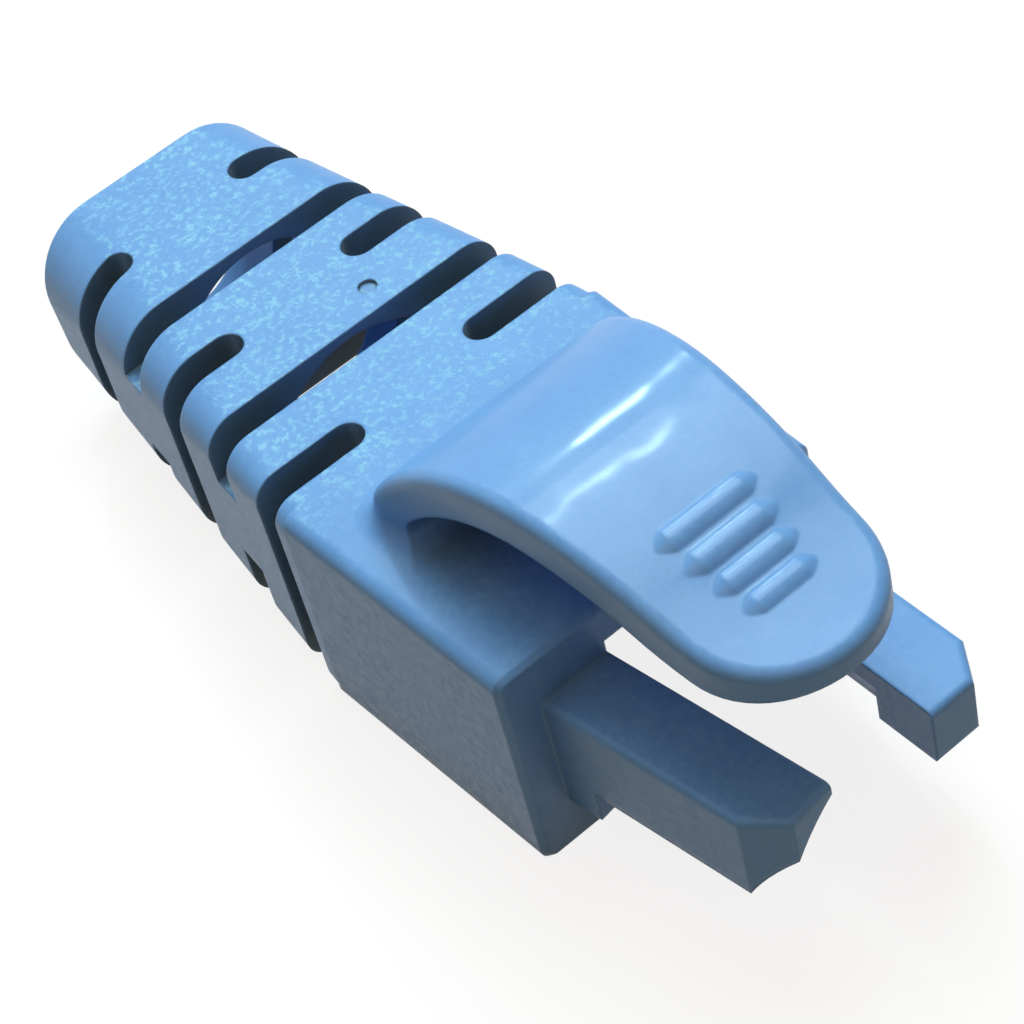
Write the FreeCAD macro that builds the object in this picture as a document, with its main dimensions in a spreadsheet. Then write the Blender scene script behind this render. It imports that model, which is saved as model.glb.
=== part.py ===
import FreeCAD, Part
import math
import os
import Sketcher

os.makedirs("parts", exist_ok=True)

doc = FreeCAD.newDocument("boot")
sheet = doc.addObject("Spreadsheet::Sheet", "Sizes")

# Frame: x = 0 is the plane of symmetry, y = 0 the front face of the shell, z = 0 the flat underside.
# The prongs and the tip of the latch guard point to -y, the cable leaves at the +y end.
SIZES = {
    # Shell, the box behind the plug
    "shell_height": 9.6,
    "shell_front_width": 13.6,
    "shell_rear_width": 14.25,
    "shell_length": 11.0,
    "shell_corner": 0.55,
    "front_edge_chamfer": 0.2,
    # Sleeve, the tapered slotted tail: it bends a little to +x and its end leans back at the top
    "overall_length": 31.3,
    "sleeve_front_corner": 0.9,
    "tail_width": 10.6,
    "tail_drift": 0.5,
    "tail_bottom": 0.9,
    "tail_top": 8.4,
    "tail_tilt": 1.3,
    "tail_corner": 2.9,
    "tail_edge_chamfer": 0.25,
    # Way through for the cable
    "bore_height": 4.8,
    "mouth_radius": 3.1,
    "mouth_depth": 3.0,
    "hollow_radius": 4.05,
    "hollow_start": 7.5,
    "hollow_end": 17.0,
    "tail_radius": 3.3,
    "tail_grip": 3.4,
    # Notch in the front face between the prongs, open below
    "notch_depth": 6.2,
    "notch_height": 8.0,
    # Flex slots: side slots and crosswise slots take turns
    "side_slot_first": 11.65,
    "side_slot_pitch": 7.3,
    "cross_slot_first": 15.27,
    "cross_slot_pitch": 7.04,
    "slot_width": 1.35,
    "far_slot_shift": 0.45,
    "spine_width": 5.1,
    "side_web_bottom": 3.2,
    "side_web_top": 6.9,
    # Latch guard, the arched tongue over the plug's latch
    "guard_root": 8.5,
    "guard_root_height": 10.8,
    "guard_crest": 0.6,
    "guard_crest_height": 15.1,
    "guard_reach": 9.5,
    "guard_tip_height": 13.3,
    "guard_bend_share": 0.5,
    "guard_thickness": 1.6,
    "guard_tip_thickness": 1.05,
    "guard_root_width": 9.9,
    "guard_tip_width": 7.2,
    "guard_tip_share": 0.92,
    "guard_back": 9.3,
    "guard_corner": 1.5,
    "guard_edge_round": 0.45,
    "guard_root_round": 0.8,
    # Prongs that go into the plug beside the cable
    "prong_gap": 5.1,
    "prong_width": 2.81,
    "prong_length": 9.5,
    "prong_top": 7.45,
    "prong_bottom": 2.3,
    "prong_chamfer_side": 0.98,
    "prong_chamfer_front": 1.42,
    "prong_nose_height": 2.35,
    "prong_bevel_start": 8.4,
    "prong_bevel_height": 3.2,
    "prong_notch_start": 2.9,
    "prong_notch_top": 4.6,
    "prong_notch_end": 5.65,
    "prong_notch_rise": 1.1,
    "prong_toe_rise": 0.55,
    "prong_seat": 1.5,
    "prong_edge_round": 0.25,
    "prong_wall": 1.0,
    "prong_ledge": 5.0,
    "prong_hollow": 8.0,
    "scoop_length": 6.9,
    "near_scoop_height": 1.88,
    "near_scoop_radius": 5.66,
    "prong_lean": 7.4,
    # Grip ribs on the tip of the latch guard
    "rib_first": 3.2,
    "rib_pitch": 1.04,
    "rib_long": 4.2,
    "rib_step": 0.37,
    "rib_radius": 0.7,
    "rib_height": 0.16,
    "rib_end": 0.6,
    # Shallow round mark left by the mould's gate on top of the sleeve
    "gate_side": 2.0,
    "gate_place": 17.9,
    "gate_radius": 0.36,
    "gate_depth": 0.15,
}
RIB_COUNT = 4
# Each rib's ends dip below the guard's face by this many rib heights less one
RIB_END_DROP = 1.2
SIDE_SLOT_COUNT = 3
CROSS_SLOT_COUNT = 2

for row, (alias, number) in enumerate(SIZES.items(), start=1):
    sheet.set("A%d" % row, alias)
    sheet.set("B%d" % row, str(number))
    sheet.setAlias("B%d" % row, alias)
doc.recompute()


def size(expression):
    """Number that an expression of the sheet's sizes gives now."""
    result = sheet.evalExpression(expression)
    return float(getattr(result, "Value", result))


def plane(body, role):
    """One of the body's own origin planes or axes."""
    return next(item for item in body.Origin.OriginFeatures if item.Role == role)


def new_sketch(body, name, role, offset="0"):
    """Empty sketch on an origin plane of the body, moved along the plane's normal."""
    sketch = body.newObject("Sketcher::SketchObject", name)
    sketch.AttachmentSupport = [(plane(body, role), "")]
    sketch.MapMode = "FlatFace"
    sketch.setExpression("AttachmentOffset.Base.z", offset)
    return sketch


def pin(sketch, geometry, point, across, up):
    """Tie a point of the sketch to the sheet, measured from the sketch's origin."""
    for kind, expression in (("DistanceX", across), ("DistanceY", up)):
        number = sketch.addConstraint(Sketcher.Constraint(kind, geometry, point, size(expression)))
        sketch.setExpression("Constraints[%d]" % number, expression)


def outline(sketch, corners):
    """Closed outline. A corner is (across, up), or (across, up, radius) to reach it by an arc.

    An arc turns left along the run, or right where its radius starts with a minus.
    """
    count = len(corners)
    ends = []
    for index, corner in enumerate(corners):
        before = corners[index - 1]
        start = FreeCAD.Vector(size(before[0]), size(before[1]), 0)
        end = FreeCAD.Vector(size(corner[0]), size(corner[1]), 0)
        if len(corner) == 2:
            sketch.addGeometry(Part.LineSegment(start, end))
            ends.append((1, 2))
            continue
        radius = size(corner[2])
        half = (end - start).Length / 2
        left = FreeCAD.Vector(start.y - end.y, end.x - start.x, 0)
        left.normalize()
        depth = math.copysign(math.sqrt(max(radius * radius - half * half, 0)), radius)
        centre = (start + end) * 0.5 + left * depth
        angles = [math.atan2(point.y - centre.y, point.x - centre.x) for point in (start, end)]
        if radius < 0:
            angles.reverse()
        circle = Part.Circle(centre, FreeCAD.Vector(0, 0, 1), abs(radius))
        sketch.addGeometry(Part.ArcOfCircle(circle, angles[0], angles[1]))
        ends.append((1, 2) if radius > 0 else (2, 1))
    for index, corner in enumerate(corners):
        following = (index + 1) % count
        joint = (index, ends[index][1], following, ends[following][0])
        sketch.addConstraint(Sketcher.Constraint("Coincident", *joint))
        pin(sketch, index, ends[index][1], corner[0], corner[1])
        if len(corner) == 3:
            radius = "abs(%s)" % corner[2]
            number = sketch.addConstraint(Sketcher.Constraint("Radius", index, size(radius)))
            sketch.setExpression("Constraints[%d]" % number, radius)


def pad(body, name, sketch, length, midplane=False, reverse=False):
    """Pad of a length from the sheet."""
    feature = body.newObject("PartDesign::Pad", name)
    feature.Profile = sketch
    feature.setExpression("Length", length)
    feature.Midplane = midplane
    feature.Reversed = reverse
    return feature


def pocket(body, name, sketch, length, midplane=False, reverse=False):
    """Pocket of a length from the sheet."""
    feature = body.newObject("PartDesign::Pocket", name)
    feature.Profile = sketch
    feature.Midplane = midplane
    feature.Reversed = reverse
    feature.setExpression("Length", length)
    doc.recompute()
    if feature.BaseFeature.Shape.Volume - feature.Shape.Volume < 1e-3:
        raise RuntimeError(name + " cuts nothing")
    return feature


def repeat(body, name, feature, pitch, count):
    """Copies of a feature along the length."""
    row = body.newObject("PartDesign::LinearPattern", name)
    row.Originals = [feature]
    row.Direction = (plane(body, "Y_Axis"), [""])
    row.Mode = "Spacing"
    row.setExpression("Offset", pitch)
    row.Occurrences = count
    body.Tip = row
    doc.recompute()
    return row


EDGE_SHARES = (0.1, 0.3, 0.5, 0.7, 0.9)


def edges_where(shape, test):
    """Numbers of the edges whose points all pass the test."""
    found = []
    for number, edge in enumerate(shape.Edges, start=1):
        first, last = edge.ParameterRange
        points = [edge.valueAt(first + (last - first) * share) for share in EDGE_SHARES]
        if all(test(point) for point in points):
            found.append(number)
    return found


def fillet(name, base, test, radius):
    """Round the edges of an object whose points all pass the test."""
    doc.recompute()
    feature = doc.addObject("Part::Fillet", name)
    feature.Base = base
    edges = edges_where(base.Shape, test)
    if not edges:
        raise RuntimeError(name + " finds no edge")
    feature.Edges = [(number, size(radius), size(radius)) for number in edges]
    doc.recompute()
    return feature


def long_fillet(name, base, front_radius, back_radius):
    """Round the four long edges of an object, with a radius that changes from its front to its back."""
    doc.recompute()
    box = base.Shape.BoundBox
    radii = []
    for number, edge in enumerate(base.Shape.Edges, start=1):
        places = [edge.valueAt(parameter).y for parameter in edge.ParameterRange]
        if abs(places[1] - places[0]) < box.YLength / 2:
            continue
        shares = [(place - box.YMin) / box.YLength for place in places]
        growth = "(%s - %s)" % (back_radius, front_radius)
        ends = [size("%s + %s * %.9f" % (front_radius, growth, share)) for share in shares]
        radii.append((number, ends[0], ends[1]))
    feature = doc.addObject("Part::Fillet", name)
    feature.Base = base
    feature.Edges = radii
    doc.recompute()
    return feature


def common(name, base, tool):
    """What two solids share."""
    feature = doc.addObject("Part::Common", name)
    feature.Base = base
    feature.Tool = tool
    feature.Refine = True
    doc.recompute()
    return feature


def chamfer(name, base, test, setback):
    """Chamfer the edges of an object whose points all pass the test."""
    doc.recompute()
    feature = doc.addObject("Part::Chamfer", name)
    feature.Base = base
    edges = edges_where(base.Shape, test)
    if not edges:
        raise RuntimeError(name + " finds no edge")
    feature.Edges = [(number, size(setback), size(setback)) for number in edges]
    doc.recompute()
    return feature


def fuse(name, shapes):
    """One solid of several."""
    feature = doc.addObject("Part::MultiFuse", name)
    feature.Shapes = shapes
    feature.Refine = True
    doc.recompute()
    return feature


def cut(name, base, tool):
    """Take a tool's solid off a base."""
    feature = doc.addObject("Part::Cut", name)
    feature.Base = base
    feature.Tool = tool
    doc.recompute()
    if base.Shape.Volume - feature.Shape.Volume < 1e-3:
        raise RuntimeError(name + " cuts nothing")
    return feature


NEAR = 1e-4
OVERRUN = 1.0

# Shell: the box behind the plug, a little wider at the back, with its front edges eased
shell = doc.addObject("PartDesign::Body", "Shell")
shell_plan = new_sketch(shell, "ShellPlan", "XY_Plane")
outline(shell_plan, [
    ("Sizes.shell_front_width / 2", "0"),
    ("Sizes.shell_rear_width / 2", "Sizes.shell_length"),
    ("-Sizes.shell_rear_width / 2", "Sizes.shell_length"),
    ("-Sizes.shell_front_width / 2", "0"),
])
pad(shell, "ShellBlock", shell_plan, "Sizes.shell_height")
rounded_shell = long_fillet("RoundedShell", shell, "Sizes.shell_corner", "Sizes.shell_corner")
eased_shell = chamfer("EasedShell", rounded_shell, lambda point: abs(point.y) < NEAR,
                      "Sizes.front_edge_chamfer")

# Sleeve: the tapered tail, what its plan and its side view share, with its end eased.
# Its top corner is set beyond the overall length by what the chamfer takes off there.
TAIL_LEAN = "atan(Sizes.tail_tilt / (Sizes.tail_top - Sizes.tail_bottom))"
CHAMFER_LOSS = "Sizes.tail_edge_chamfer * sin(%s)" % TAIL_LEAN
TAIL_END = "(Sizes.overall_length + %s)" % CHAMFER_LOSS
sleeve_block = doc.addObject("PartDesign::Body", "SleeveBlock")
sleeve_plan = new_sketch(sleeve_block, "SleevePlan", "XY_Plane", "-%g" % OVERRUN)
outline(sleeve_plan, [
    ("Sizes.shell_rear_width / 2", "Sizes.shell_length"),
    ("Sizes.tail_drift + Sizes.tail_width / 2", TAIL_END),
    ("Sizes.tail_drift - Sizes.tail_width / 2", TAIL_END),
    ("-Sizes.shell_rear_width / 2", "Sizes.shell_length"),
])
pad(sleeve_block, "SleeveTaper", sleeve_plan, "Sizes.shell_height + %g" % (2 * OVERRUN))
sleeve_side = doc.addObject("PartDesign::Body", "SleeveSide")
sleeve_side_view = new_sketch(sleeve_side, "SleeveSideView", "YZ_Plane")
outline(sleeve_side_view, [
    ("Sizes.shell_length", "0"),
    (TAIL_END + " - Sizes.tail_tilt", "Sizes.tail_bottom"),
    (TAIL_END, "Sizes.tail_top"),
    ("Sizes.shell_length", "Sizes.shell_height"),
])
pad(sleeve_side, "SleeveSlope", sleeve_side_view, "2 * Sizes.shell_rear_width", midplane=True)
sleeve = common("Sleeve", sleeve_block, sleeve_side)
rounded_sleeve = long_fillet("RoundedSleeve", sleeve, "Sizes.sleeve_front_corner", "Sizes.tail_corner")


def at_tail_end(point):
    """Whether a point lies on the leaning end face of the sleeve."""
    below_top = (size("Sizes.tail_top") - point.z) / size("Sizes.tail_top - Sizes.tail_bottom")
    return abs(point.y - size(TAIL_END) + below_top * size("Sizes.tail_tilt")) < NEAR


eased_sleeve = chamfer("EasedSleeve", rounded_sleeve, at_tail_end, "Sizes.tail_edge_chamfer")
tube = fuse("Tube", [eased_shell, eased_sleeve])

# Way through for the cable: a mouth and a wider hollow behind it, then a taper down to the tail


def round_way(name, aside, profile):
    """Tool for a round passage along y; the profile is (place, radius) from front to back."""
    body = doc.addObject("PartDesign::Body", name)
    half = new_sketch(body, name + "Half", "YZ_Plane", aside)
    outline(half, [(profile[0][0], "Sizes.bore_height"), (profile[-1][0], "Sizes.bore_height")] + [
        (place, "Sizes.bore_height + " + radius) for place, radius in reversed(profile)])
    doc.recompute()
    turn = body.newObject("PartDesign::Revolution", name + "Turn")
    turn.Profile = half
    turn.ReferenceAxis = (half, ["Edge2"])
    turn.Angle = 360
    doc.recompute()
    return body


front_way = round_way("FrontWay", "0", [
    ("-%g" % OVERRUN, "Sizes.mouth_radius"),
    ("Sizes.mouth_depth", "Sizes.mouth_radius"),
    ("Sizes.hollow_start", "Sizes.hollow_radius"),
    ("Sizes.hollow_end", "Sizes.hollow_radius"),
])
tail_way = round_way("TailWay", "Sizes.tail_drift", [
    ("Sizes.hollow_end - Sizes.slot_width", "Sizes.tail_radius"),
    ("Sizes.hollow_end", "Sizes.hollow_radius"),
    ("Sizes.overall_length - Sizes.tail_grip", "Sizes.tail_radius"),
    ("Sizes.overall_length + %g" % OVERRUN, "Sizes.tail_radius"),
])

# Notch between the prongs, open to the underside
notch = doc.addObject("PartDesign::Body", "Notch")
notch_section = new_sketch(notch, "NotchSection", "XZ_Plane", "%g" % OVERRUN)
outline(notch_section, [
    ("Sizes.prong_gap / 2", "-%g" % OVERRUN),
    ("Sizes.prong_gap / 2", "Sizes.notch_height"),
    ("-Sizes.prong_gap / 2", "Sizes.notch_height"),
    ("-Sizes.prong_gap / 2", "-%g" % OVERRUN),
])
pad(notch, "NotchBlock", notch_section, "Sizes.notch_depth + %g" % OVERRUN, reverse=True)

# Side slots: they run out through both sides and leave a spine above and below
INNER = "(Sizes.spine_width + Sizes.slot_width) / 2"
SLOT_END = "Sizes.slot_width / 2"


def side_slot_row(name, turn, front):
    """Row of slots out through one side; turn is a minus for the -x side."""
    body = doc.addObject("PartDesign::Body", name)
    back = front + " + Sizes.slot_width"
    plan = new_sketch(body, name + "Plan", "XY_Plane", "-%g" % OVERRUN)
    outline(plan, [
        ("%s Sizes.shell_rear_width" % turn, front),
        ("%s Sizes.shell_rear_width" % turn, back),
        ("%s %s" % (turn, INNER), back),
        ("%s %s" % (turn, INNER), front, "%s %s" % (turn, SLOT_END)),
    ])
    block = pad(body, name + "Block", plan, "Sizes.shell_height + %g" % (2 * OVERRUN))
    repeat(body, name + "Row", block, "Sizes.side_slot_pitch", SIDE_SLOT_COUNT)
    return body


side_slots = [
    side_slot_row("FarSlots", "", "Sizes.side_slot_first + Sizes.far_slot_shift"),
    side_slot_row("NearSlots", "-", "Sizes.side_slot_first"),
]

# Cross slots: they run over the top and under the bottom and leave a web at each side


def cross_slot_row(name, bottom, top):
    """Row of slots between two heights."""
    body = doc.addObject("PartDesign::Body", name)
    face = new_sketch(body, name + "Face", "XZ_Plane", "-Sizes.cross_slot_first")
    outline(face, [
        ("Sizes.shell_rear_width", bottom),
        ("Sizes.shell_rear_width", top),
        ("-Sizes.shell_rear_width", top),
        ("-Sizes.shell_rear_width", bottom),
    ])
    block = pad(body, name + "Block", face, "Sizes.slot_width", reverse=True)
    repeat(body, name + "Row", block, "Sizes.cross_slot_pitch", CROSS_SLOT_COUNT)
    return body


cross_slots = [
    cross_slot_row("TopSlots", "Sizes.side_web_top", "Sizes.shell_height + %g" % OVERRUN),
    cross_slot_row("BottomSlots", "-%g" % OVERRUN, "Sizes.side_web_bottom"),
]

# Gate mark on top of the sleeve
SLEEVE_FALL = "((Sizes.shell_height - Sizes.tail_top) / (Sizes.overall_length - Sizes.shell_length))"
gate = doc.addObject("Part::Cylinder", "Gate")
gate.setExpression("Radius", "Sizes.gate_radius")
gate.Height = OVERRUN
gate.setExpression("Placement.Base.x", "Sizes.gate_side")
gate.setExpression("Placement.Base.y", "Sizes.gate_place")
gate.setExpression("Placement.Base.z", "Sizes.shell_height - %s * (Sizes.gate_place - Sizes.shell_length)"
                   " - Sizes.gate_depth" % SLEEVE_FALL)
doc.recompute()

slotted_tube = tube
for tool in [front_way, tail_way, notch] + side_slots + cross_slots + [gate]:
    slotted_tube = cut(tool.Name + "Cut", slotted_tube, tool)

# Latch guard: an arched tongue whose two arcs meet in a smooth reverse bend
guard = doc.addObject("PartDesign::Body", "Guard")
DROP = "(Sizes.guard_crest_height - Sizes.guard_tip_height)"
RUN = "(Sizes.guard_crest + Sizes.guard_reach)"
BEND = "Sizes.guard_bend_share"
BEND_PLACE = "(Sizes.guard_crest - %s * %s)" % (BEND, RUN)
BEND_HEIGHT = "(Sizes.guard_crest_height - %s * %s)" % (BEND, DROP)
CHORD_SQUARED = "(%s ^ 2 + %s ^ 2)" % (DROP, RUN)
FRONT_RADIUS = "(%s * %s / (2 * %s))" % (BEND, CHORD_SQUARED, DROP)
TIP_RADIUS = "((1 - %s) * %s / (2 * %s))" % (BEND, CHORD_SQUARED, DROP)
ROOT_RISE = "(Sizes.guard_crest_height - Sizes.guard_root_height)"
ROOT_RUN = "(Sizes.guard_root - Sizes.guard_crest)"
ROOT_RADIUS = "((%s ^ 2 + %s ^ 2) / (2 * %s))" % (ROOT_RISE, ROOT_RUN, ROOT_RISE)
THICK = "Sizes.guard_thickness"
# Share of the thickness that the bend's normal moves a point along y and z
BEND_NORMAL_Y = "(2 * %s * %s / %s)" % (DROP, RUN, CHORD_SQUARED)
BEND_NORMAL_Z = "((%s ^ 2 - %s ^ 2) / %s)" % (RUN, DROP, CHORD_SQUARED)
UNDER_BEND_PLACE = "(%s + %s * %s)" % (BEND_PLACE, THICK, BEND_NORMAL_Y)
UNDER_BEND_HEIGHT = "(%s - %s * %s)" % (BEND_HEIGHT, THICK, BEND_NORMAL_Z)
# Arc under the tip: it leaves the bend smoothly and meets the thinner tip
UNDER_RUN = "(Sizes.guard_reach + %s)" % UNDER_BEND_PLACE
UNDER_DROP = "(%s - Sizes.guard_tip_height + Sizes.guard_tip_thickness)" % UNDER_BEND_HEIGHT
UNDER_RADIUS = "((%s ^ 2 + %s ^ 2) / (2 * (%s * %s - %s * %s)))" % (
    UNDER_RUN, UNDER_DROP, UNDER_RUN, BEND_NORMAL_Y, UNDER_DROP, BEND_NORMAL_Z)
GUARD_FOOT = "(Sizes.shell_height - %g)" % OVERRUN
FOOT_PLACE = "(Sizes.guard_root + (%s - %s) * (Sizes.guard_root_height - %s) / %s)" % (
    ROOT_RADIUS, ROOT_RISE, GUARD_FOOT, ROOT_RUN)
CENTRE_HEIGHT = "(Sizes.guard_crest_height - %s)" % ROOT_RADIUS
INNER_RADIUS = "(%s - %s)" % (ROOT_RADIUS, THICK)
INNER_FOOT = "(Sizes.guard_crest + sqrt(%s ^ 2 - (%s - %s) ^ 2))" % (INNER_RADIUS, GUARD_FOOT, CENTRE_HEIGHT)
side_view = new_sketch(guard, "SideView", "YZ_Plane")
outline(side_view, [
    (FOOT_PLACE, GUARD_FOOT),
    ("Sizes.guard_root", "Sizes.guard_root_height"),
    ("Sizes.guard_crest", "Sizes.guard_crest_height", ROOT_RADIUS),
    (BEND_PLACE, BEND_HEIGHT, FRONT_RADIUS),
    ("-Sizes.guard_reach", "Sizes.guard_tip_height", "-%s" % TIP_RADIUS),
    ("-Sizes.guard_reach", "Sizes.guard_tip_height - Sizes.guard_tip_thickness"),
    (UNDER_BEND_PLACE, UNDER_BEND_HEIGHT, UNDER_RADIUS),
    ("Sizes.guard_crest", "Sizes.guard_crest_height - %s" % THICK, "-(%s - %s)" % (FRONT_RADIUS, THICK)),
    (INNER_FOOT, GUARD_FOOT, "-%s" % INNER_RADIUS),
])
pad(guard, "GuardArch", side_view, "2 * Sizes.guard_root_width", midplane=True)

guard_plan = doc.addObject("PartDesign::Body", "GuardPlan")
plan_view = new_sketch(guard_plan, "PlanView", "XY_Plane", GUARD_FOOT)
ROOT_HALF = "Sizes.guard_root_width / 2"
TIP_HALF = "Sizes.guard_tip_width / 2"
TIP_LENGTH = "(Sizes.guard_tip_share * Sizes.guard_tip_width / 2)"
TIP_START = "(%s - Sizes.guard_reach)" % TIP_LENGTH
TIP_ROUND = "((Sizes.guard_tip_width ^ 2 / 4 + %s ^ 2) / (2 * %s))" % (TIP_LENGTH, TIP_LENGTH)
CORNER = "Sizes.guard_corner"
outline(plan_view, [
    (ROOT_HALF, "Sizes.guard_back - " + CORNER),
    (ROOT_HALF + " - " + CORNER, "Sizes.guard_back", CORNER),
    ("%s - %s" % (CORNER, ROOT_HALF), "Sizes.guard_back"),
    ("-" + ROOT_HALF, "Sizes.guard_back - " + CORNER, CORNER),
    ("-" + TIP_HALF, TIP_START),
    (TIP_HALF, TIP_START, TIP_ROUND),
])
pad(guard_plan, "GuardPlanBlock", plan_view, "Sizes.guard_crest_height")
guard_blank = common("GuardBlank", guard, guard_plan)
# Centre and radius of each arc along the top of the tongue
TOP_ARCS = [
    (size("Sizes.guard_crest"), size(CENTRE_HEIGHT), size(ROOT_RADIUS)),
    (size("Sizes.guard_crest"), size("Sizes.guard_crest_height - " + FRONT_RADIUS), size(FRONT_RADIUS)),
    (-size("Sizes.guard_reach"), size("Sizes.guard_tip_height + " + TIP_RADIUS), size(TIP_RADIUS)),
]


def on_guard_rim(point):
    """Whether a point lies on the rim of the tongue's top, and not on a seam between two of its arcs."""
    on_top = any(abs(math.hypot(point.y - y, point.z - z) - radius) < NEAR for y, z, radius in TOP_ARCS)
    seams = ("Sizes.guard_root", "Sizes.guard_crest", BEND_PLACE)
    on_seam = any(abs(point.y - size(seam)) < NEAR for seam in seams)
    return on_top and not on_seam and point.z > size("Sizes.shell_height")


guard_solid = fillet("GuardSolid", guard_blank, on_guard_rim, "Sizes.guard_edge_round")

# Grip ribs: wide round bars mostly sunk in the top of the tongue, with tapered ends


def guard_top(forward):
    """Height of the tongue's top at a distance in front of the shell."""
    if size("%s + %s" % (forward, BEND_PLACE)) < 0:
        reach = "(%s + Sizes.guard_crest)" % forward
        return "(Sizes.guard_crest_height - %s + sqrt(%s ^ 2 - %s ^ 2))" % (FRONT_RADIUS, FRONT_RADIUS, reach)
    reach = "(Sizes.guard_reach - %s)" % forward
    return "(Sizes.guard_tip_height + %s - sqrt(%s ^ 2 - %s ^ 2))" % (TIP_RADIUS, TIP_RADIUS, reach)


def rib(number):
    """One bar across the tongue."""
    forward = "(Sizes.rib_first + %d * Sizes.rib_pitch)" % number
    half = "((Sizes.rib_long - %d * Sizes.rib_step) / 2 - Sizes.rib_end)" % number
    height = "%s + Sizes.rib_height - Sizes.rib_radius" % guard_top(forward)
    bar = doc.addObject("Part::Cylinder", "RibBar%d" % number)
    bar.setExpression("Radius", "Sizes.rib_radius")
    bar.setExpression("Height", "2 * " + half)
    bar.Placement.Rotation = FreeCAD.Rotation(FreeCAD.Vector(0, 1, 0), 90)
    bar.setExpression("Placement.Base.x", "-" + half)
    pieces = [bar]
    for side, angle in (("", 90), ("-", -90)):
        end = doc.addObject("Part::Cone", "RibEnd%d" % number)
        end.setExpression("Radius1", "Sizes.rib_radius")
        end.setExpression("Radius2", "Sizes.rib_radius - %g * Sizes.rib_height" % RIB_END_DROP)
        end.setExpression("Height", "Sizes.rib_end")
        end.Placement.Rotation = FreeCAD.Rotation(FreeCAD.Vector(0, 1, 0), angle)
        end.setExpression("Placement.Base.x", side + half)
        pieces.append(end)
    for piece in pieces:
        piece.setExpression("Placement.Base.y", "-" + forward)
        piece.setExpression("Placement.Base.z", height)
    return pieces


ribs = [piece for number in range(RIB_COUNT) for piece in rib(number)]

# Prongs: one each side of the cable, cut away inside for it and bevelled under the nose


def prong(name, side):
    """Prong on one side; side is a minus for the one at -x."""
    body = doc.addObject("PartDesign::Body", name)
    inside = "%s (Sizes.prong_gap / 2)" % side
    outside = "%s (Sizes.prong_gap / 2 + Sizes.prong_width)" % side
    plan = new_sketch(body, name + "Plan", "XY_Plane", "Sizes.prong_bottom")
    outline(plan, [
        (inside, "Sizes.prong_seat"),
        (inside, "-Sizes.prong_length"),
        ("%s (Sizes.prong_gap / 2 + Sizes.prong_width - Sizes.prong_chamfer_side)" % side,
         "-Sizes.prong_length"),
        (outside, "Sizes.prong_chamfer_front - Sizes.prong_length"),
        (outside, "Sizes.prong_seat"),
    ])
    pad(body, name + "Blank", plan, "Sizes.prong_top - Sizes.prong_bottom")
    below = new_sketch(body, name + "Below", "YZ_Plane")
    outline(below, [
        ("-Sizes.prong_notch_start", "Sizes.prong_bottom"),
        ("-Sizes.prong_notch_top", "Sizes.prong_bottom + Sizes.prong_notch_rise"),
        ("-Sizes.prong_notch_end", "Sizes.prong_bottom + Sizes.prong_toe_rise"),
        ("-Sizes.prong_bevel_start", "Sizes.prong_bevel_height"),
        ("-Sizes.prong_length", "Sizes.prong_top - Sizes.prong_nose_height"),
        ("-(Sizes.prong_length + %g)" % OVERRUN, "Sizes.prong_top - Sizes.prong_nose_height"),
        ("-(Sizes.prong_length + %g)" % OVERRUN, "Sizes.prong_bottom - %g" % OVERRUN),
        ("-Sizes.prong_notch_start", "Sizes.prong_bottom - %g" % OVERRUN),
    ])
    pocket(body, name + "Underside", below, "4 * (Sizes.prong_gap + Sizes.prong_width)", midplane=True)
    hollow = new_sketch(body, name + "Hollow", "XZ_Plane", "Sizes.prong_length - Sizes.prong_hollow")
    outline(hollow, [
        ("-" + INNER_WALL, "Sizes.prong_bottom - %g" % OVERRUN),
        (INNER_WALL, "Sizes.prong_bottom - %g" % OVERRUN),
        (INNER_WALL, "Sizes.prong_ledge"),
        ("-" + INNER_WALL, "Sizes.prong_ledge"),
    ])
    pocket(body, name + "Inside", hollow, "Sizes.prong_length", reverse=True)
    return body


def scoop(body, name, height, radius, start, length, reverse):
    """Round pocket along the inner side of a prong."""
    face = new_sketch(body, name + "Face", "XZ_Plane", start)
    face.addGeometry(Part.Circle(FreeCAD.Vector(0, size(height), 0), FreeCAD.Vector(0, 0, 1), size(radius)))
    pin(face, 0, 3, "0", height)
    number = face.addConstraint(Sketcher.Constraint("Radius", 0, size(radius)))
    face.setExpression("Constraints[%d]" % number, radius)
    pocket(body, name, face, length, reverse=reverse)


def on_prong_rim(point):
    """Whether a point lies on the rim of a prong's top face, but not on its inner side or its seat."""
    return (
        abs(point.z - size("Sizes.prong_top")) < NEAR
        and point.y < size("Sizes.prong_seat") - NEAR
        and abs(point.x) > size("Sizes.prong_gap / 2") + NEAR
    )


INNER_WALL = "(Sizes.prong_gap / 2 + Sizes.prong_width - Sizes.prong_wall)"
far_blank = prong("FarProng", "")
near_blank = prong("NearProng", "-")
for blank in (far_blank, near_blank):
    scoop(blank, blank.Name + "CableSide", "Sizes.bore_height", "Sizes.mouth_radius", "Sizes.scoop_length",
          "Sizes.scoop_length + Sizes.prong_seat + %g" % OVERRUN, False)
# The prong at -x is scooped out further, right through its nose
scoop(near_blank, "NearProngScoop", "Sizes.near_scoop_height", "Sizes.near_scoop_radius",
      "Sizes.prong_length - Sizes.prong_hollow", "Sizes.prong_length", True)
far_prong = fillet("FarProngRounded", far_blank, on_prong_rim, "Sizes.prong_edge_round")
near_prong = fillet("NearProngRounded", near_blank, on_prong_rim, "Sizes.prong_edge_round")
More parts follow.
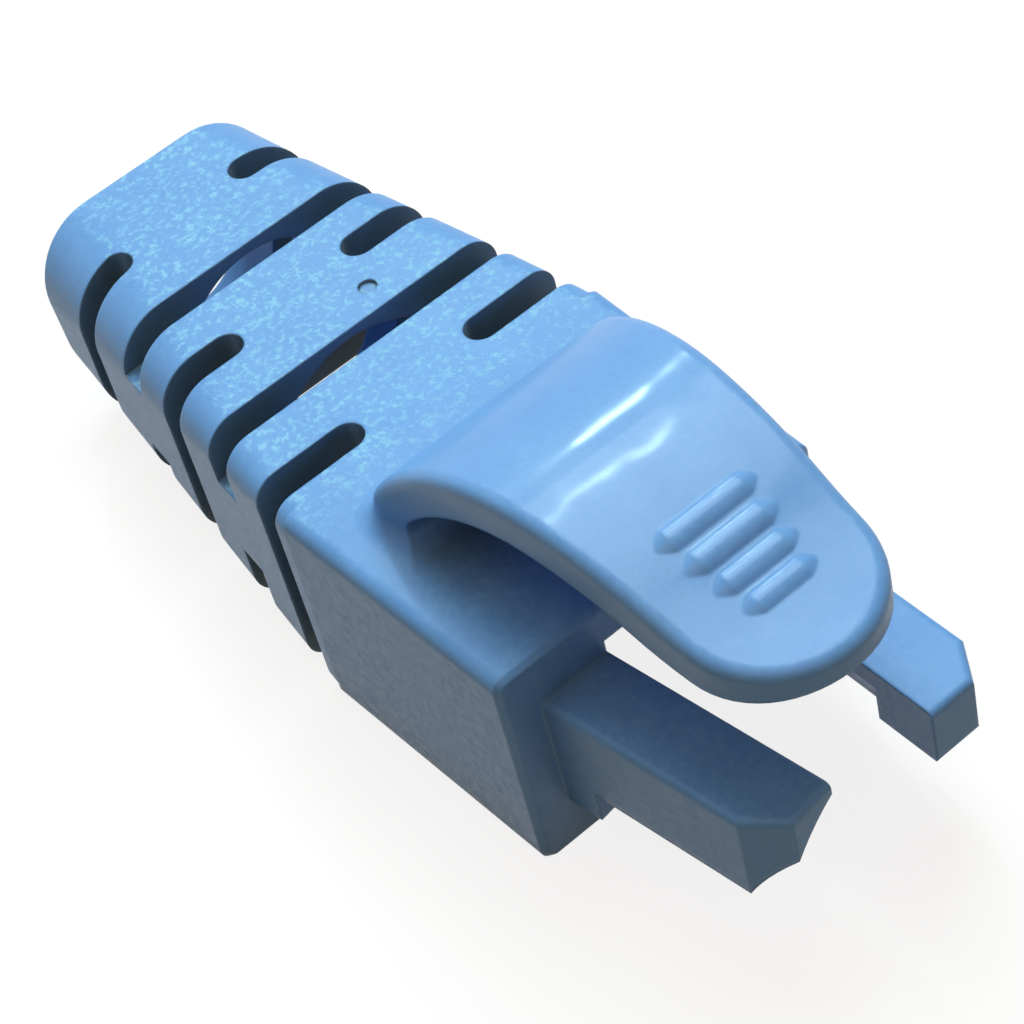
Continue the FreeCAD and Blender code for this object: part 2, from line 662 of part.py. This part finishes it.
# The same prong leans in towards the other about the outer edge of its root
PIVOT = "(Sizes.prong_gap / 2 + Sizes.prong_width)"
near_prong.Placement.Rotation = FreeCAD.Rotation(FreeCAD.Vector(0, 0, 1), 1)
near_prong.setExpression("Placement.Rotation.Angle", "Sizes.prong_lean")
near_prong.setExpression("Placement.Base.x", "-%s * (1 - cos(Sizes.prong_lean))" % PIVOT)
near_prong.setExpression("Placement.Base.y", "%s * sin(Sizes.prong_lean)" % PIVOT)

moulding = fuse("Moulding", [slotted_tube, guard_solid, far_prong, near_prong] + ribs)


def at_guard_root(point):
    """Whether a point lies where the tongue stands on the shell."""
    return (
        abs(point.z - size("Sizes.shell_height")) < NEAR
        and size("Sizes.guard_crest") < point.y < size("Sizes.guard_back") + NEAR
        and abs(point.x) < size(ROOT_HALF) + NEAR
    )


boot = fillet("Boot", moulding, at_guard_root, "Sizes.guard_root_round")
boot.Label = "strain_relief_boot"
# The origin is moved back to the middle of the boot's length, on its underside
boot.setExpression("Placement.Base.y", "(Sizes.prong_length - Sizes.overall_length) / 2")
doc.recompute()

for item in doc.Objects:
    if "Invalid" in item.State or "Error" in item.State:
        raise RuntimeError("%s did not compute: %s" % (item.Name, item.State))
if boot.Shape.isNull() or not boot.Shape.isValid() or len(boot.Shape.Solids) != 1:
    raise RuntimeError("%s is not one valid solid" % boot.Label)
boot.Shape.exportStep("parts/%s.step" % boot.Label)
print(boot.Label, boot.Shape.Volume, boot.Shape.BoundBox)
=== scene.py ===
import math

import bpy
from mathutils import Matrix, Vector

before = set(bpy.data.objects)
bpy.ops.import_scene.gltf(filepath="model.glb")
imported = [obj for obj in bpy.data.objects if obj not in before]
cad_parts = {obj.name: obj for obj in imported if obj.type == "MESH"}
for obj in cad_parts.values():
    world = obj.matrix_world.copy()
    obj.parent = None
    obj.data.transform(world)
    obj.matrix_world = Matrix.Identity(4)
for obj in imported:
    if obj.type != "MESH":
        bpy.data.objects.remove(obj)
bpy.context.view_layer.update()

MM = 0.001
IMAGE = 1024

# Camera, fitted to the photograph's straight edges
AZIMUTH = math.radians(-27.839)
ELEVATION = math.radians(47.235)
ROLL = math.radians(-16.047)
DISTANCE = 104.812 * MM
TARGET = Vector((-0.281, -1.44, 4.432)) * MM
FOCAL_PIXELS = 3000.0
CENTRE_PIXEL = (492.654, 526.754)
SENSOR = 36.0

# Colours of the plastic; the recess tint is painted shade that darkens what lies deep in slots
DEEP_BLUE = (0.125, 0.35, 0.78, 1)
PALE_BLUE = (0.175, 0.435, 0.87, 1)
PAINTED_GLINT_BLUE = (0.29, 0.68, 0.95, 1)
PAINTED_RECESS_SHADE = (0.55, 0.36, 0.19, 1)
PAINTED_SHADE_REACH = 3.5 * MM
PAINTED_SHADE_OPENNESS = (0.25, 0.85)

# Noise, in cells per metre and in rising detail: broad patches, clouds, grain
PATCH_SCALE = 210.0
CLOUD_SCALE = 420.0
GRAIN_SCALE = 3600.0
NOISE_ROUGHNESS = 0.65
GRAIN_SHARE = 0.45
TINT_RANGE = (0.32, 0.68)

# Painted highlight: pale specks that stand in for glints of gloss, only on flat upward faces above this
# height, and mostly behind the guard
SPECK_HEIGHT = 6.5 * MM
SPECK_LEVEL = (0.50, 0.64)
SPECK_PATCHES = (0.38, 0.60)
SPECK_STRENGTH = (0.55, 0.85)
FLATNESS = (0.95, 0.99)
GUARD_ROOT = (-2.5 * MM, 0.5 * MM)
SPECKS_ON_SHELL = 0.1

# Gloss and relief; the guard is smoother where fingers rub its top
GRAIN_GLOSS = (0.35, 0.65)
ROUGHNESS = (0.34, 0.48)
GRAIN_HEIGHT = 0.011 * MM
SWAY_HEIGHT = 0.10 * MM
EDGE_SOFTNESS = 0.18 * MM
POLISHED_HEIGHTS = (12.2 * MM, 14.0 * MM)
POLISH = 0.2

# Surroundings: white to look at, dim and warm as a source of light
WHITE = (1, 1, 1, 1)
FLOOR_PAINT = (0.9, 0.9, 0.9, 1)
FLOOR_BOUNCE = (0.25, 0.17, 0.11, 1)
FLOOR_HALF = 1.5
FLOOR_GLOW = 1.08
FLOOR_GLOW_SHARE = 0.78
AMBIENT = 0.12
AMBIENT_COLOUR = (1.0, 0.62, 0.38, 1)
DAYLIGHT = (0.85, 0.98, 1.0)
GLINT = (0.70, 1.0, 1.0)
WARM = (1.0, 0.70, 0.48)


def add_camera():
    """Camera at the photograph's viewing angle."""
    back = Vector((
        math.sin(AZIMUTH) * math.cos(ELEVATION),
        -math.cos(AZIMUTH) * math.cos(ELEVATION),
        math.sin(ELEVATION),
    ))
    level = Vector((math.cos(AZIMUTH), math.sin(AZIMUTH), 0))
    up = back.cross(level)
    right = math.cos(ROLL) * level + math.sin(ROLL) * up
    top = math.cos(ROLL) * up - math.sin(ROLL) * level
    data = bpy.data.cameras.new("camera")
    data.sensor_width = SENSOR
    data.lens = SENSOR * FOCAL_PIXELS / IMAGE
    data.shift_x = (IMAGE / 2 - CENTRE_PIXEL[0]) / IMAGE
    data.shift_y = (CENTRE_PIXEL[1] - IMAGE / 2) / IMAGE
    data.clip_start = 0.005
    camera = bpy.data.objects.new("camera", data)
    bpy.context.collection.objects.link(camera)
    turn = Matrix((right, top, back)).transposed().to_4x4()
    camera.matrix_world = Matrix.Translation(TARGET + DISTANCE * back) @ turn
    bpy.context.scene.camera = camera


def add_area_light(name, direction, distance, size, power, colour):
    """Soft square light that faces the middle of the object."""
    data = bpy.data.lights.new(name, "AREA")
    data.shape = "SQUARE"
    data.size = size
    data.energy = power
    data.color = colour
    lamp = bpy.data.objects.new(name, data)
    bpy.context.collection.objects.link(lamp)
    towards = Vector(direction).normalized()
    lamp.location = towards * distance
    lamp.rotation_euler = towards.to_track_quat("Z", "Y").to_euler()


class Nodes:
    """Short way to build a node tree."""

    def __init__(self, tree):
        self.tree = tree

    def add(self, kind, values=None, **settings):
        node = self.tree.nodes.new("ShaderNode" + kind)
        for key, value in settings.items():
            setattr(node, key, value)
        for key, value in (values or {}).items():
            node.inputs[key].default_value = value
        return node

    def link(self, start, end):
        self.tree.links.new(start, end)

    def noise(self, place, scale, detail):
        """Cloudy value from 0 to 1 over the surface."""
        node = self.add("TexNoise", {"Scale": scale, "Detail": detail, "Roughness": NOISE_ROUGHNESS})
        self.link(place, node.inputs["Vector"])
        return node.outputs["Fac"]

    def remap(self, value, span, start=0.0, end=1.0):
        """Value stretched from its span onto start to end, and held there beyond."""
        node = self.add("MapRange", {
            "From Min": span[0], "From Max": span[1], "To Min": start, "To Max": end,
        })
        self.link(value, node.inputs["Value"])
        return node.outputs["Result"]

    def product(self, first, *others):
        """All the values multiplied together."""
        for other in others:
            node = self.add("Math", operation="MULTIPLY")
            self.link(first, node.inputs[0])
            self.link(other, node.inputs[1])
            first = node.outputs[0]
        return first

    def blend(self, share, first, colour, blend_type="MIX"):
        """First colour with the share of the second one laid over it."""
        node = self.add("Mix", {"B": colour}, data_type="RGBA", blend_type=blend_type)
        self.link(share, node.inputs["Factor"])
        self.link(first, node.inputs["A"])
        return node.outputs["Result"]

    def relief(self, height, distance, strength, normal):
        """Normal after a fine relief of the given height."""
        node = self.add("Bump", {"Strength": strength, "Distance": distance})
        self.link(height, node.inputs["Height"])
        self.link(normal, node.inputs["Normal"])
        return node.outputs["Normal"]


def empty_material(name):
    """Material with nothing but its output."""
    material = bpy.data.materials.new(name)
    material.use_nodes = True
    material.node_tree.nodes.clear()
    nodes = Nodes(material.node_tree)
    return material, nodes, nodes.add("OutputMaterial")


def cloudy_tint(nodes, cloud, grain):
    """Blue that drifts between a deep and a pale tone."""
    broad = nodes.add("Math", {1: 1 - GRAIN_SHARE}, operation="MULTIPLY")
    total = nodes.add("Math", {1: GRAIN_SHARE}, operation="MULTIPLY_ADD")
    tint = nodes.add("ValToRGB")
    for stop, position, colour in zip(tint.color_ramp.elements, TINT_RANGE, (DEEP_BLUE, PALE_BLUE)):
        stop.position = position
        stop.color = colour
    nodes.link(cloud, broad.inputs[0])
    nodes.link(grain, total.inputs[0])
    nodes.link(broad.outputs[0], total.inputs[2])
    nodes.link(total.outputs[0], tint.inputs["Fac"])
    return tint.outputs["Color"]


def painted_glint_share(nodes, normal, along, waves, grain):
    """How much painted highlight shows as pale specks: on the sleeve's flat, upward-facing top, in uneven
    patches.
    """
    facing = nodes.add("SeparateXYZ")
    high = nodes.add("Math", {1: SPECK_HEIGHT}, operation="GREATER_THAN")
    nodes.link(normal, facing.inputs["Vector"])
    nodes.link(along.outputs["Z"], high.inputs[0])
    return nodes.product(
        nodes.remap(grain, SPECK_LEVEL),
        nodes.remap(waves, SPECK_PATCHES, *SPECK_STRENGTH),
        nodes.remap(facing.outputs["Z"], FLATNESS),
        nodes.remap(along.outputs["Y"], GUARD_ROOT, SPECKS_ON_SHELL, 1.0),
        high.outputs[0],
    )


def soft_plastic():
    """Satin blue moulded plastic with a fine mottle, painted highlight specks, painted shade in its
    recesses and softened edges.
    """
    material, nodes, output = empty_material("blue_soft_plastic")
    shader = nodes.add("BsdfPrincipled", {
        "IOR": 1.5, "Specular IOR Level": 0.3, "Coat Roughness": 0.12,
    })
    coordinates = nodes.add("TexCoord")
    place = coordinates.outputs["Object"]
    along = nodes.add("SeparateXYZ")
    nodes.link(place, along.inputs["Vector"])
    cloud = nodes.noise(place, CLOUD_SCALE, 4.0)
    grain = nodes.noise(place, GRAIN_SCALE, 3.0)
    waves = nodes.noise(place, PATCH_SCALE, 2.0)

    # Painted highlight: pale specks on flat upward faces stand in for glints of gloss
    painted_glints = painted_glint_share(nodes, coordinates.outputs["Normal"], along, waves, grain)
    colour = nodes.blend(painted_glints, cloudy_tint(nodes, cloud, grain), PAINTED_GLINT_BLUE)
    # Painted shade: the colour darkens towards the recess tint where ambient occlusion finds slots and
    # hollows
    openness = nodes.add("AmbientOcclusion", {"Distance": PAINTED_SHADE_REACH}, samples=4).outputs["AO"]
    painted_shade = nodes.remap(openness, PAINTED_SHADE_OPENNESS, 1.0, 0.0)
    colour = nodes.blend(painted_shade, colour, PAINTED_RECESS_SHADE, "MULTIPLY")

    edge = nodes.add("Bevel", {"Radius": EDGE_SOFTNESS}, samples=6).outputs["Normal"]
    nodes.link(colour, shader.inputs["Base Color"])
    nodes.link(nodes.remap(grain, GRAIN_GLOSS, *ROUGHNESS), shader.inputs["Roughness"])
    nodes.link(nodes.relief(grain, GRAIN_HEIGHT, 0.5, edge), shader.inputs["Normal"])
    nodes.link(nodes.remap(along.outputs["Z"], POLISHED_HEIGHTS, 0.0, POLISH), shader.inputs["Coat Weight"])
    nodes.link(nodes.relief(waves, SWAY_HEIGHT, 1.0, edge), shader.inputs["Coat Normal"])
    nodes.link(shader.outputs["BSDF"], output.inputs["Surface"])
    return material


def seen_directly(nodes):
    """1 for rays from the camera, from gloss and through glass, otherwise 0."""
    path = nodes.add("LightPath")
    total = path.outputs["Is Camera Ray"]
    for kind in ("Is Glossy Ray", "Is Transmission Ray"):
        either = nodes.add("Math", operation="MAXIMUM")
        nodes.link(total, either.inputs[0])
        nodes.link(path.outputs[kind], either.inputs[1])
        total = either.outputs[0]
    return total


def show_when_seen(nodes, otherwise, seen, output):
    """Surface with one look for rays that see it and another for light that bounces."""
    mix = nodes.add("MixShader")
    nodes.link(seen_directly(nodes), mix.inputs[0])
    nodes.link(otherwise.outputs[0], mix.inputs[1])
    nodes.link(seen.outputs[0], mix.inputs[2])
    nodes.link(mix.outputs[0], output.inputs["Surface"])


def floor_material():
    """White floor that keeps the object's shadow and bounces little light."""
    material, nodes, output = empty_material("floor_white")
    dim = nodes.add("BsdfDiffuse", {"Color": FLOOR_BOUNCE})
    pale = nodes.add("BsdfDiffuse", {"Color": FLOOR_PAINT})
    glow = nodes.add("Emission", {"Color": WHITE, "Strength": FLOOR_GLOW})
    white = nodes.add("MixShader", {0: FLOOR_GLOW_SHARE})
    nodes.link(pale.outputs[0], white.inputs[1])
    nodes.link(glow.outputs[0], white.inputs[2])
    show_when_seen(nodes, dim, white, output)
    return material


def add_floor():
    """Plain floor that the boot lies on."""
    corners = [(x * FLOOR_HALF, y * FLOOR_HALF, 0) for x, y in ((-1, -1), (1, -1), (1, 1), (-1, 1))]
    mesh = bpy.data.meshes.new("floor")
    mesh.from_pydata(corners, [], [(0, 1, 2, 3)])
    mesh.materials.append(floor_material())
    floor = bpy.data.objects.new("floor", mesh)
    bpy.context.collection.objects.link(floor)


def set_world():
    """White surroundings that light the object only softly."""
    world = bpy.data.worlds.new("studio")
    world.use_nodes = True
    bpy.context.scene.world = world
    world.node_tree.nodes.clear()
    nodes = Nodes(world.node_tree)
    output = nodes.add("OutputWorld")
    ambient = nodes.add("Background", {"Color": AMBIENT_COLOUR, "Strength": AMBIENT})
    white = nodes.add("Background", {"Color": WHITE, "Strength": 1.0})
    show_when_seen(nodes, ambient, white, output)


bpy.context.scene.view_settings.view_transform = "Standard"
add_camera()
add_floor()
set_world()
add_area_light("key", (0.30, 0.25, 0.92), distance=0.35, size=0.20, power=0.80, colour=DAYLIGHT)
add_area_light("window", (0.0, 0.78, 0.62), distance=0.45, size=0.40, power=0.35, colour=DAYLIGHT)
add_area_light("upper_glint", (0.37, 0.70, 0.605), distance=0.50, size=0.02, power=0.24, colour=GLINT)
add_area_light("lower_glint", (0.345, 0.46, 0.82), distance=0.50, size=0.02, power=0.14, colour=GLINT)
add_area_light("fill", (-0.25, -0.42, 0.9), distance=0.40, size=0.30, power=0.30, colour=WARM)

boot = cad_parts["strain_relief_boot"]
plastic = soft_plastic()
for material_slot in boot.material_slots:
    material_slot.material = plastic
